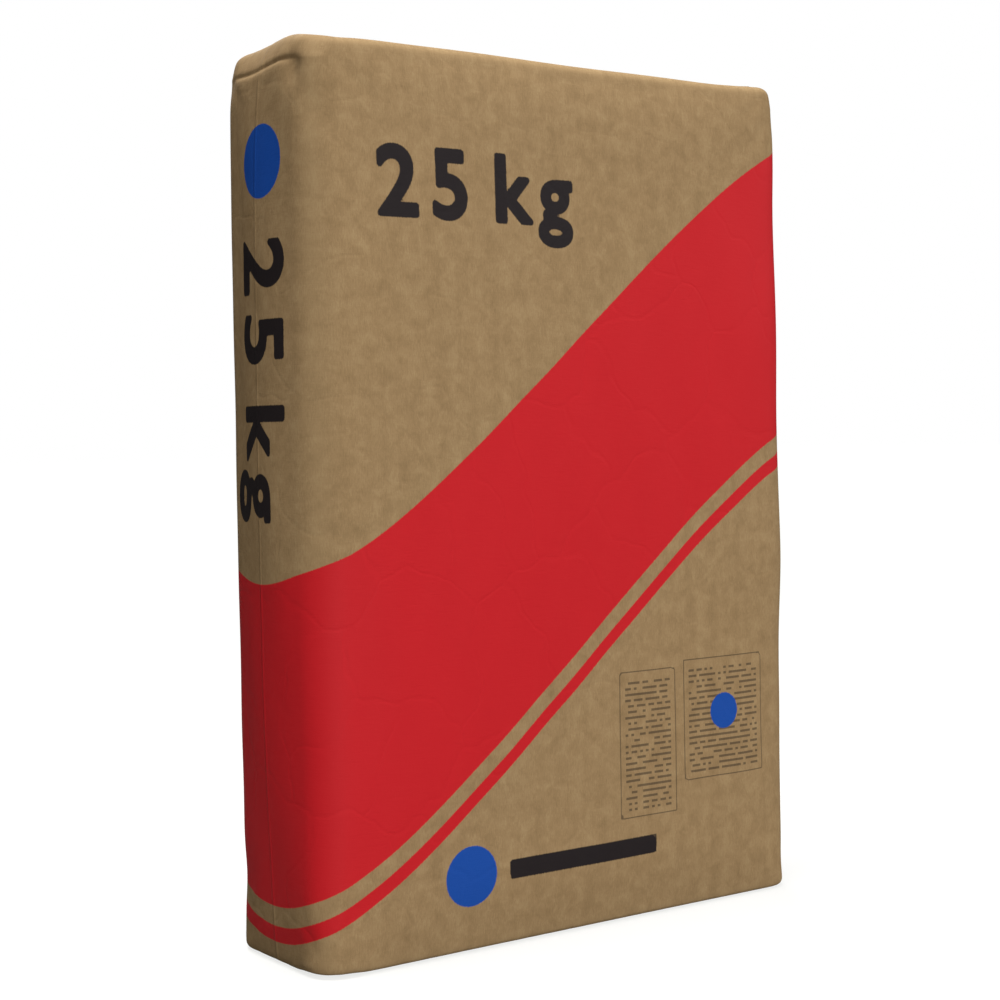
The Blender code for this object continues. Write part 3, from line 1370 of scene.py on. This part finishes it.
    def rise(self, places: np.ndarray, below: np.ndarray | float) -> np.ndarray:
        """Find how far the bag stands above its height in the frame, near the top.

        Args:
            places: Points of the bag.
            below: How far below the top they lie.

        Returns:
            The rise at each point.
        """
        x, y = places[:, 0], places[:, 1]
        left = self.ears[0] * smooth_step(-47 * MM, -17 * MM, y)
        ear = np.where(x < 0, left, self.ears[1]) * smooth_step(*self.ear_reach, np.abs(x))
        ear += self.arch * bell((y + 4 * MM) / (27 * MM)) * smooth_step(-146 * MM, -164 * MM, x)
        ear -= self.dip * bell((x + 155 * MM) / (16 * MM), (y + 50 * MM) / (20 * MM))
        ripple = np.sin(x / (19 * MM) + y / (26 * MM)) + np.sin(x / (41 * MM) - y / (17 * MM) + 1.3)
        at_crease = bell((below - self.crease_below) / (8 * MM)) * smooth_step(-140 * MM, -160 * MM, x)
        hang = self.sag * self.by_valve(y) * at_crease
        return (self.crown + ear + 0.18 * MM * ripple) * smooth_step(28 * MM, 2 * MM, below) - hang

    def by_valve(self, y: np.ndarray) -> np.ndarray:
        """Weigh places of the left end by how near the middle of the valve they lie."""
        return bell((y - self.valve_middle) / self.valve_reach)

    def sleeve_depth(self, x: np.ndarray) -> np.ndarray:
        """Find how far below the top the valve sleeve lies, which comes out at the crease of the left end.

        Args:
            x: Places along the width.

        Returns:
            The depth at each place.
        """
        mouth = 3 * MM - self.tube.width / 2
        to_mouth = smooth_step(mouth + 20 * MM, mouth, x)
        return self.sleeve_below + (self.crease_below - self.sleeve_below) * to_mouth

    def mark(self, sack: bpy.types.Object, paper: np.ndarray) -> None:
        """Press the marks into the paper, lean the side panels in and fold the valve's mouth.

        Args:
            sack: The filled sack.
            paper: The place of each of its points on the paper.
        """
        s, h = paper.T
        below_rim = self.tall - h
        out = sum(mark.push(s, h) for mark in self.marks()) + self.slack(s, h)
        places = push_points(sack.data, out * smooth_step(2 * MM, 14 * MM, np.minimum(h, below_rim)))
        half_mouth = self.mouth_width / 2
        near_mouth = smooth_step(half_mouth + 2 * MM, half_mouth - 12 * MM, np.abs(places[:, 1]))
        in_fold = bell((below_rim - self.crease_below) / MM)
        places[:, 0] += self.mouth_depth * near_mouth * in_fold * (places[:, 0] < -self.tube.run_x)
        left_shoulder = self.shoulders[0] + self.hollow * self.by_valve(places[:, 1])
        shoulder = np.where(places[:, 0] < 0, left_shoulder, self.shoulders[1])
        lean = self.taper[0] * np.clip(1 - below_rim / self.taper[1], 0, 1) ** 1.5
        lean = lean + shoulder * np.clip(1 - below_rim / self.crease_below, 0, 1)
        outer = smooth_step(self.tube.run_x - 12 * MM, self.tube.width / 2 - 4 * MM, np.abs(places[:, 0]))
        places[:, 2] = np.clip(places[:, 2], self.bottom, self.top)
        places[:, 2] += self.rise(places, below_rim)
        corner_x, corner_y = 5 * MM - self.tube.width / 2, 5 * MM - self.tube.depth / 2
        near_corner = np.hypot(places[:, 0] - corner_x, places[:, 1] - corner_y)
        tucked = smooth_step(26 * MM, 12 * MM, near_corner) * smooth_step(18 * MM, 1 * MM, h)
        places[:, 2] += self.tuck * tucked
        places[:, 0] -= np.sign(places[:, 0]) * lean * outer
        write_points(sack.data, places)

    def ink(self, sack: bpy.types.Object) -> None:
        """Store the distance to each ink, and the wear of the folds, at every corner of the mesh.

        Args:
            sack: The finished sack.
        """
        s, h = read_map(sack.data).astype(float).T
        found = self.printed.distances(s, h)
        round_s = np.abs(s)
        back_corner = 2 * self.tube.side_s - self.tube.corner_s
        folds = [round_s - self.tube.corner_s, round_s - back_corner, self.tall - h, h]
        off_fold = np.min(np.abs(folds), axis=0)
        found[WEAR] = 0.25 * bell(off_fold / (5 * MM))
        for name, values in found.items():
            stored = sack.data.attributes.new(name, "FLOAT", "CORNER")
            stored.data.foreach_set("value", values.astype(np.float32))

    def build(self) -> bpy.types.Object:
        """Model the sack and lay it out on the flat paper.

        Returns:
            The sack's object.
        """
        sack = self.block()
        paper = self.lay_out(sack)
        swell = self.first_swell
        write_points(sack.data, self.fill_out(read_points(sack.data), swell))
        self.press_out(sack)
        self.mark(sack, paper)
        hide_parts("paper_sack")
        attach(sack, "root")
        return sack

    def fine_creases(self) -> list[Crease]:
        """List the fine creases: fans at the corners, gathers along the rims and traces of handling.

        Returns:
            The creases.
        """
        chance = np.random.default_rng(self.seed)
        corner, side, tall = self.tube.corner_s, self.tube.side_s, self.tall
        found = []
        for corner_s in (-corner, corner, 2 * side - corner, corner - 2 * side):
            for end, up in ((0.0, 1), (tall, -1)):
                for turn in (-1.0, -0.6, 0.5, 0.9):
                    lean = turn * chance.uniform(0.7, 1.3)
                    long = chance.uniform(28 * MM, 66 * MM)
                    start = corner_s + turn * 8 * MM, end + up * chance.uniform(4 * MM, 10 * MM)
                    stop = start[0] + long * math.sin(lean), start[1] + up * long * math.cos(lean)
                    found.append(Crease(start, stop, 2.6 * MM, chance.uniform(0.15, 0.5) * MM))
        for end, up in ((0.0, 1), (tall, -1)):
            s = -self.tube.seam_s
            while s < self.tube.seam_s:
                s += chance.uniform(9 * MM, 26 * MM)
                stop = s + chance.uniform(-4 * MM, 4 * MM), end + up * chance.uniform(10 * MM, 26 * MM)
                found.append(Crease((s, end - up * 6 * MM), stop, 2.4 * MM, chance.uniform(0.08, 0.3) * MM))
        for _ in range(self.traces):
            s = chance.uniform(-self.tube.seam_s, self.tube.seam_s)
            h = chance.uniform(30 * MM, tall - 30 * MM)
            turn, long = chance.uniform(0, math.pi), chance.uniform(24 * MM, 70 * MM)
            stop = s + long * math.cos(turn), h + long * math.sin(turn)
            found.append(Crease((s, h), stop, 2.6 * MM, chance.uniform(-0.16, 0.2) * MM))
        return found

    def crease(self, sack: bpy.types.Object) -> None:
        """Press the fine creases into the paper.

        Args:
            sack: The sack, with its final mesh.
        """
        mesh = sack.data
        paper = np.zeros((len(mesh.vertices), 2))
        paper[corner_points(mesh)] = read_map(mesh)
        s, h = paper.T
        out = sum(crease.push(s, h) for crease in self.fine_creases())
        out = out * smooth_step(-9 * MM, 3 * MM, np.minimum(h, self.tall - h))
        write_points(mesh, push_points(mesh, out))

    def has_figures(self, corners: list[Vector]) -> bool:
        """Tell whether a face lies by the figures of a weight mark.

        Args:
            corners: The places of its corners on the paper.

        Returns:
            Whether it does.
        """
        s, h = np.mean(corners, axis=0)
        for mark in self.printed.weight_marks:
            reach = [share * mark.cap_height for share in mark.room]
            across, up = abs(s - mark.centre[0]), abs(h - mark.centre[1])
            if across < reach[not mark.turned] and up < reach[mark.turned]:
                return True
        return False

    def refine(self, sack: bpy.types.Object) -> None:
        """Halve the mesh where figures are printed, so that their edges come out clean.

        Args:
            sack: The sack, with its final form.
        """
        edit(sack)
        shape = bmesh.from_edit_mesh(sack.data)
        layer = shape.loops.layers.uv[SHEET_MAP]
        select(sack, "FACE", lambda face: self.has_figures([loop[layer].uv for loop in face.loops]))
        bpy.ops.mesh.subdivide(number_cuts=1, ngon=False)
        bpy.ops.object.mode_set(mode="OBJECT")

    def finish(self, sack: bpy.types.Object) -> None:
        """Smooth the sack, crease it and print it.

        Args:
            sack: The sack.
        """
        modify(sack, "finer", "SUBSURF", levels=1, render_levels=1, uv_smooth="NONE")
        self.crease(sack)
        self.refine(sack)
        sack.data.shade_smooth()
        self.ink(sack)
        sack.data.materials.append(PrintedKraft(tube=self.tube).build())


@dataclass
class CementFill:
    """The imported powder, just inside the paper.

    Attributes:
        inset: How far its surface lies inside the sack's.
        under_sleeve: How far it lies below the middle of the valve sleeve.
        clear: How far beside the valve's mouth the powder still gives the sleeve room.
    """

    inset: float = 2 * MM
    under_sleeve: float = 2.2 * MM
    clear: float = 4 * MM

    def build(self, sack: bpy.types.Object, form: PaperSack) -> bpy.types.Object:
        """Model the powder from the sack's inner form.

        Args:
            sack: The sack, before it is smoothed.
            form: The sack's sizes.

        Returns:
            The powder's object.
        """
        activate(sack)
        bpy.ops.object.duplicate()
        powder = bpy.context.object
        powder.name = powder.data.name = "powder"
        for key in list(powder.keys()):
            del powder[key]
        powder.data.uv_layers.remove(powder.data.uv_layers[SHEET_MAP])
        edit(powder, "SELECT")
        bpy.ops.transform.shrink_fatten(value=-self.inset)
        bpy.ops.object.mode_set(mode="OBJECT")
        places = read_points(powder.data)
        by_valve = np.abs(places[:, 1]) < form.mouth_width / 2 + self.clear
        depth = np.where(by_valve, form.sleeve_depth(places[:, 0]), form.sleeve_below) + self.under_sleeve
        places[:, 2] = np.minimum(places[:, 2], form.top - depth + form.rise(places, depth))
        write_points(powder.data, places)
        powder.data.shade_smooth()
        powder.data.materials.append(CementPowder().build())
        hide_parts("cement_fill")
        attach(powder, "root")
        return powder


@dataclass
class CoverSheet:
    """A strip of bare kraft that is pasted over the folded flaps of one end.

    Attributes:
        end: The end that it covers.
        corner: Radius of its corners.
        cell: Spacing of its mesh.
        thickness: Thickness of the paper.
        paste: Gap between it and the sack.
        trim: How much shorter it is at the top, where the ends of the sack slope down.
        lift: How far its corner has come up where the paste didn't take.
        start_gap: How far off the end it lies before it is laid on it.
    """

    end: End
    corner: float = 4 * MM
    cell: float = 4 * MM
    thickness: float = 0.4 * MM
    paste: float = 0.05 * MM
    trim: float = 16 * MM
    lift: float = 0.8 * MM
    start_gap: float = 20 * MM

    def build(self, sack: bpy.types.Object) -> bpy.types.Object:
        """Cut the strip and lay it on the sack's end.

        Args:
            sack: The finished sack.

        Returns:
            The strip's object.
        """
        side = self.end.name.lower()
        node = f"{side}_cover_sheet"
        low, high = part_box(node)
        size = high - low
        if self.end is End.TOP:
            size.x -= self.trim
        strip = start_piece(
            f"{side}_cover",
            bpy.ops.mesh.primitive_grid_add,
            (0, 0, (low.z + high.z) / 2 + self.start_gap * self.end.value),
            (size.x, size.y, 1.0),
            x_subdivisions=round(size.x / self.cell),
            y_subdivisions=round(size.y / self.cell),
        )
        edit(strip)
        corner = size / 2 - Vector((MM, MM, MM))
        select(strip, "VERT", lambda point: abs(point.co.x) > corner.x and abs(point.co.y) > corner.y)
        bpy.ops.mesh.bevel(offset=self.corner * 0.9, segments=4, affect="VERTICES")
        bpy.ops.object.mode_set(mode="OBJECT")
        modify(
            strip,
            "laid",
            "SHRINKWRAP",
            target=sack,
            wrap_method="PROJECT",
            use_project_z=True,
            use_negative_direction=True,
            use_positive_direction=True,
            wrap_mode="ABOVE_SURFACE",
            offset=self.paste,
        )
        places = read_points(strip.data)
        if self.end is End.TOP:
            to_corner = np.hypot(size.x / 2 - places[:, 0], size.y / 2 + places[:, 1])
            places[:, 2] += self.lift * smooth_step(26 * MM, 0.0, to_corner)
        lay_map(strip.data, places[corner_points(strip.data)][:, 1::-1])
        write_points(strip.data, places)
        modify(strip, "ply", "SOLIDIFY", thickness=self.thickness, offset=float(self.end.value))
        edit(strip, "SELECT")
        bpy.ops.mesh.normals_make_consistent(inside=False)
        bpy.ops.object.mode_set(mode="OBJECT")
        strip.data.shade_smooth()
        strip.data.materials.append(EndSheetKraft(f"{side}_sheet_kraft").build())
        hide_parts(node)
        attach(strip, "root")
        return strip


@dataclass
class ValveSleeve:
    """The paper sleeve of the filling valve, pressed flat, with its mouth in the fold at the left end.

    Attributes:
        ply: Thickness of its paper.
        set_back: How far its mouth lies inside the end of the sleeve in the frame.
        parting: How far the two lips of the mouth stand apart.
        swept: How far the corners of the mouth lie behind its middle.
        rows: Where its mesh is divided, from the mouth.
        columns: Into how many strips it is divided across.
    """

    ply: float = 0.3 * MM
    set_back: float = 2.2 * MM
    parting: float = 1.0 * MM
    swept: float = 5 * MM
    rows: tuple[float, ...] = (2 * MM, 5 * MM, 8 * MM, 11 * MM, 14 * MM, 18 * MM, 23 * MM, 60 * MM)
    columns: int = 12

    def build(self, form: PaperSack) -> bpy.types.Object:
        """Model the sleeve as a flat tube that is open at both ends.

        Args:
            form: The sack's sizes.

        Returns:
            The sleeve's object.
        """
        low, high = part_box("valve_sleeve")
        size = high - low
        start = low.x + self.set_back
        length = high.x - start
        height = form.top - form.sleeve_below
        middle = (start + length / 2, 0, height)
        sleeve = start_piece("sleeve", bpy.ops.mesh.primitive_cube_add, middle, (length, size.y, size.z))
        edit(sleeve)
        select(sleeve, "EDGE", lambda edge: span(edge, 0) > length / 2)
        bpy.ops.mesh.bevel(offset=0.42 * size.z, segments=3, affect="EDGES")
        select(sleeve, "FACE", lambda face: abs(face.normal.x) > 0.9)
        bpy.ops.mesh.delete(type="FACE")
        for number in range(1, self.columns):
            cut(1, size.y * (number / self.columns - 0.5))
        for row in self.rows:
            cut(0, start + row)
        bpy.ops.object.mode_set(mode="OBJECT")
        places = read_points(sleeve.data)
        at_mouth = bell((places[:, 0] - start) / (6 * MM))
        across = np.clip(1 - (2 * places[:, 1] / size.y) ** 2, 0, 1)
        places[:, 2] += np.sign(places[:, 2] - height) * self.parting / 2 * at_mouth * across
        near_mouth = smooth_step(start + 14 * MM, start, places[:, 0])
        places[:, 0] += self.swept * (2 * np.abs(places[:, 1]) / size.y) ** 4 * near_mouth
        depth = form.sleeve_depth(places[:, 0])
        places[:, 2] += form.sleeve_below - depth + form.rise(places, depth)
        write_points(sleeve.data, places)
        lay_map(sleeve.data, places[corner_points(sleeve.data)][:, :2])
        modify(sleeve, "ply", "SOLIDIFY", thickness=self.ply)
        sleeve.data.shade_smooth()
        sleeve.data.materials.append(SackKraft("valve_paper", paper="#AE9470", pale="#C0A783").build())
        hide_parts("valve_sleeve")
        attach(sleeve, "root")
        return sleeve


# The studio


@dataclass(frozen=True)
class SoftLamp:
    """A large square lamp that looks at the bag.

    Attributes:
        name: Its name.
        azimuth: Where it stands, in degrees from the front, negative to the left.
        elevation: How high it stands, in degrees.
        distance: From the middle of the bag.
        size: Length of its sides.
        power: Its power in watts.
    """

    name: str
    azimuth: float
    elevation: float
    distance: float
    size: float
    power: float


def towards(azimuth: float, elevation: float) -> Vector:
    """Find the direction from the bag towards a camera or a lamp.

    Args:
        azimuth: In degrees from the front, negative to the left.
        elevation: In degrees above the horizon.

    Returns:
        The direction, of length 1.
    """
    turn, lift = math.radians(azimuth), math.radians(elevation)
    return Vector((math.sin(turn) * math.cos(lift), -math.cos(turn) * math.cos(lift), math.sin(lift)))


@dataclass
class Studio:
    """Pale floor, soft light and the photograph's camera.

    Attributes:
        azimuth: Where the camera stands, in degrees from the front, negative to the left.
        elevation: How high it stands, in degrees.
        roll: How far it is turned about its own axis, in degrees.
        distance: From the middle of the bag.
        focal_share: Focal length as a share of the image's width.
        offset: Where the middle of the bag lies off the middle of the image, in image widths.
        middle: Height of the middle of the bag.
        lamps: The lamps.
        fill: Strength of the light that comes from all round.
        floor_width: Length of the floor's sides.
    """

    azimuth: float = -35.88
    elevation: float = 1.81
    roll: float = -0.97
    distance: float = 1.113
    focal_share: float = 1.863
    offset: Pair = (0.0225, -0.0020)
    middle: float = 0.25
    lamps: tuple[SoftLamp, ...] = (
        SoftLamp("key", -15, 15, 6.0, 3.0, 270),
        SoftLamp("right_light", 60, 25, 6.0, 3.0, 123),
        SoftLamp("top_light", -84, 82, 3.0, 1.4, 118),
        SoftLamp("back_light", 160, 30, 6.0, 3.0, 180),
    )
    fill: float = 0.01
    floor_width: float = 60.0

    def camera(self) -> None:
        """Place the camera."""
        roll = math.radians(self.roll)
        back = towards(self.azimuth, self.elevation)
        right = (-back).cross(Vector((0, 0, 1))).normalized()
        up = right.cross(-back)
        rolled_right = right * math.cos(roll) + up * math.sin(roll)
        rolled_up = up * math.cos(roll) - right * math.sin(roll)
        lens = bpy.data.cameras.new("photo_camera")
        lens.sensor_width = 36.0
        lens.lens = self.focal_share * lens.sensor_width
        lens.shift_x = -self.offset[0]
        lens.shift_y = self.offset[1]
        camera = bpy.data.objects.new("photo_camera", lens)
        bpy.context.collection.objects.link(camera)
        spot = Vector((0, 0, self.middle)) + back * self.distance
        axes = Matrix((rolled_right, rolled_up, back)).transposed()
        camera.matrix_world = Matrix.Translation(spot) @ axes.to_4x4()
        bpy.context.scene.camera = camera

    def light(self, lamp: SoftLamp) -> None:
        """Set up one lamp.

        Args:
            lamp: The lamp.
        """
        back = towards(lamp.azimuth, lamp.elevation)
        light = bpy.data.lights.new(lamp.name, "AREA")
        light.size = lamp.size
        light.energy = lamp.power
        placed = bpy.data.objects.new(lamp.name, light)
        bpy.context.collection.objects.link(placed)
        placed.location = Vector((0, 0, self.middle)) + back * lamp.distance
        placed.rotation_euler = back.to_track_quat("Z", "Y").to_euler()

    def floor(self) -> None:
        """Lay the floor."""
        size = (self.floor_width, self.floor_width, 1.0)
        floor = start_piece("floor", bpy.ops.mesh.primitive_plane_add, (0, 0, 0), size)
        floor.data.materials.append(StudioWhite().build())

    def world(self) -> None:
        """Set the white backdrop, which the camera sees brighter than it lights the bag."""
        world = bpy.data.worlds.new("backdrop")
        bpy.context.scene.world = world
        world.use_nodes = True
        tree = world.node_tree
        tree.nodes.remove(tree.nodes["Background"])
        white = linear("#FFFFFF")
        dim, seen = (
            add_node(tree, "ShaderNodeBackground", {"Color": white, "Strength": strength})
            for strength in (self.fill, 1.0)
        )
        ray = add_node(tree, "ShaderNodeLightPath", output="Is Camera Ray")
        both = add_node(tree, "ShaderNodeMixShader", {0: ray, 1: dim, 2: seen})
        feed(tree.nodes["World Output"], {"Surface": both})

    def build(self) -> None:
        """Set up the studio."""
        self.floor()
        self.world()
        for lamp in self.lamps:
            self.light(lamp)
        self.camera()
        bpy.context.scene.view_settings.view_transform = "Standard"


def main() -> None:
    """Build the bag and its studio, and report each piece."""
    logging.basicConfig(level=logging.INFO, format="%(message)s")
    paper_sack = PaperSack()
    sack = paper_sack.build()
    powder = CementFill().build(sack, paper_sack)
    paper_sack.finish(sack)
    covers = [CoverSheet(end).build(sack) for end in End]
    sleeve = ValveSleeve().build(paper_sack)
    for piece in (sack, powder, *covers, sleeve):
        triangles = sum(len(face.vertices) - 2 for face in piece.data.polygons)
        LOG.info("%s: %d triangles", piece.name, triangles)
    Studio().build()


if __name__ == "__main__":
    main()
